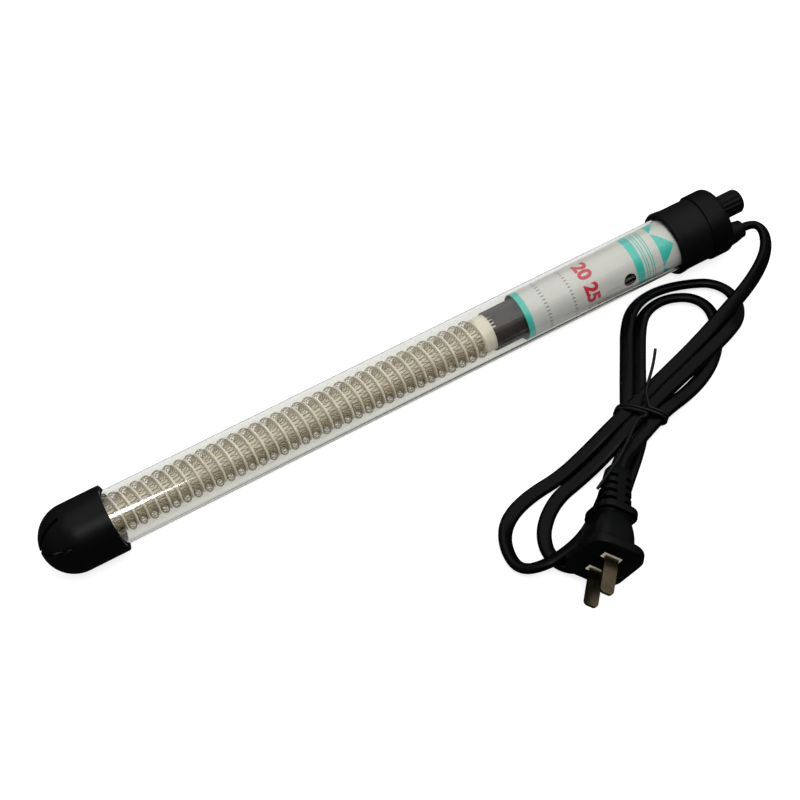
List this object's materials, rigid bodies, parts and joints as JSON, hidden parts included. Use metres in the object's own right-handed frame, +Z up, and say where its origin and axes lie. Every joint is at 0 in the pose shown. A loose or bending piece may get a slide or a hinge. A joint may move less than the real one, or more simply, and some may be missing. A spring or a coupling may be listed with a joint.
{
  "type": "submersible aquarium heater",
  "caption": "Glass-tube submersible aquarium heater with thermostat knob, guarded foot, tied lead and flat two-pin plug.",
  "frame": {"origin": "on the surface the heater lies on, under the middle of its overall length, without the free lead", "axes": "+X along the tube towards the knob, +Z up, the lead and plug lie on the -Y side"},
  "size_m": [0.3524, 0.1539, 0.0349],
  "materials": {
    "borosilicate_glass": "clear, polished",
    "guard_plastic": "satin black",
    "rubber_black": "matt black",
    "cap_plastic": "satin black",
    "ceramic": "fired ceramic, matt beige",
    "resistance_wire": "nickel-chrome wire, dull",
    "lead_wire": "nickel wire",
    "sleeve_fibre": "woven insulation, dark brown-grey",
    "label_foil": "white printed foil",
    "frame_plastic": "moulded phenolic, pale",
    "spring_brass": "rolled, satin",
    "bimetal": "rolled strip",
    "silver": "turned silver",
    "screw_steel": "zinc plated",
    "magnet": "sintered",
    "silicone": "soft silicone",
    "lamp_glass": "clear glass over electrodes",
    "resistor_body": "lacquered",
    "cord_jacket": "satin black jacket",
    "core_insulation": "coloured insulation",
    "tie_coat": "plastic-coated wire",
    "plug_plastic": "moulded, satin black",
    "blade_nickel": "nickel-plated brass",
    "seat_plastic": "ivory"
  },
  "bodies": {
    "base": {"glass_tube": "borosilicate_glass", "foot_guard": "guard_plastic", "foot_pad": "silicone", "ceramic_core": "ceramic", "heating_coil": "resistance_wire", "return_lead": "lead_wire", "winding_lead": "lead_wire", "insulating_sleeve": "sleeve_fibre", "label_liner": "label_foil", "thermostat_frame": "frame_plastic", "leaf_anchor": "spring_brass", "bimetal_anchor": "spring_brass", "anchor_screws": "screw_steel", "snap_magnet": "magnet", "screw_bush": "spring_brass", "spindle_bush": "cap_plastic", "spindle_seal": "rubber_black", "tube_stopper": "rubber_black", "head_sleeve": "rubber_black", "head_cap": "cap_plastic", "cord_gland": "rubber_black", "neon_lamp": "lamp_glass", "lamp_resistor": "resistor_body", "live_wire": "core_insulation", "neutral_wire": "core_insulation", "power_cord": "cord_jacket", "cord_in_gland": "cord_jacket", "twist_tie": "tie_coat", "plug_body": "plug_plastic", "plug_blade_upper": "blade_nickel", "plug_blade_lower": "blade_nickel", "plug_blade_seat": "seat_plastic"},
    "knob_group": {"knob": "cap_plastic", "spindle": "cap_plastic", "adjusting_screw": "spring_brass"},
    "leaf": {"contact_leaf": "spring_brass", "leaf_contact": "silver"},
    "bimetal": {"bimetal_strip": "bimetal", "bimetal_contact": "silver"}
  },
  "joints": [
    {"name": "knob_turn", "type": "hinge", "parent": "base", "child": "knob_group", "pos_m": [0.1685, 0.0038, 0.0152], "axis": [1, 0, 0], "range_deg": [-135, 135]},
    {"name": "leaf_flex", "type": "hinge", "parent": "base", "child": "leaf", "pos_m": [0.072, -0.0062, 0.0147], "axis": [0, 0, 1], "range_deg": [-1.6, 1.6]},
    {"name": "bimetal_flex", "type": "hinge", "parent": "base", "child": "bimetal", "pos_m": [0.072, -0.0024, 0.0147], "axis": [0, 0, 1], "range_deg": [-1, 2], "stiffness_Nm_per_rad": 0.02}
  ],
  "couplings": [
    {"joint": "leaf_flex", "follows": "knob_turn", "ratio": -0.011141}
  ]
}
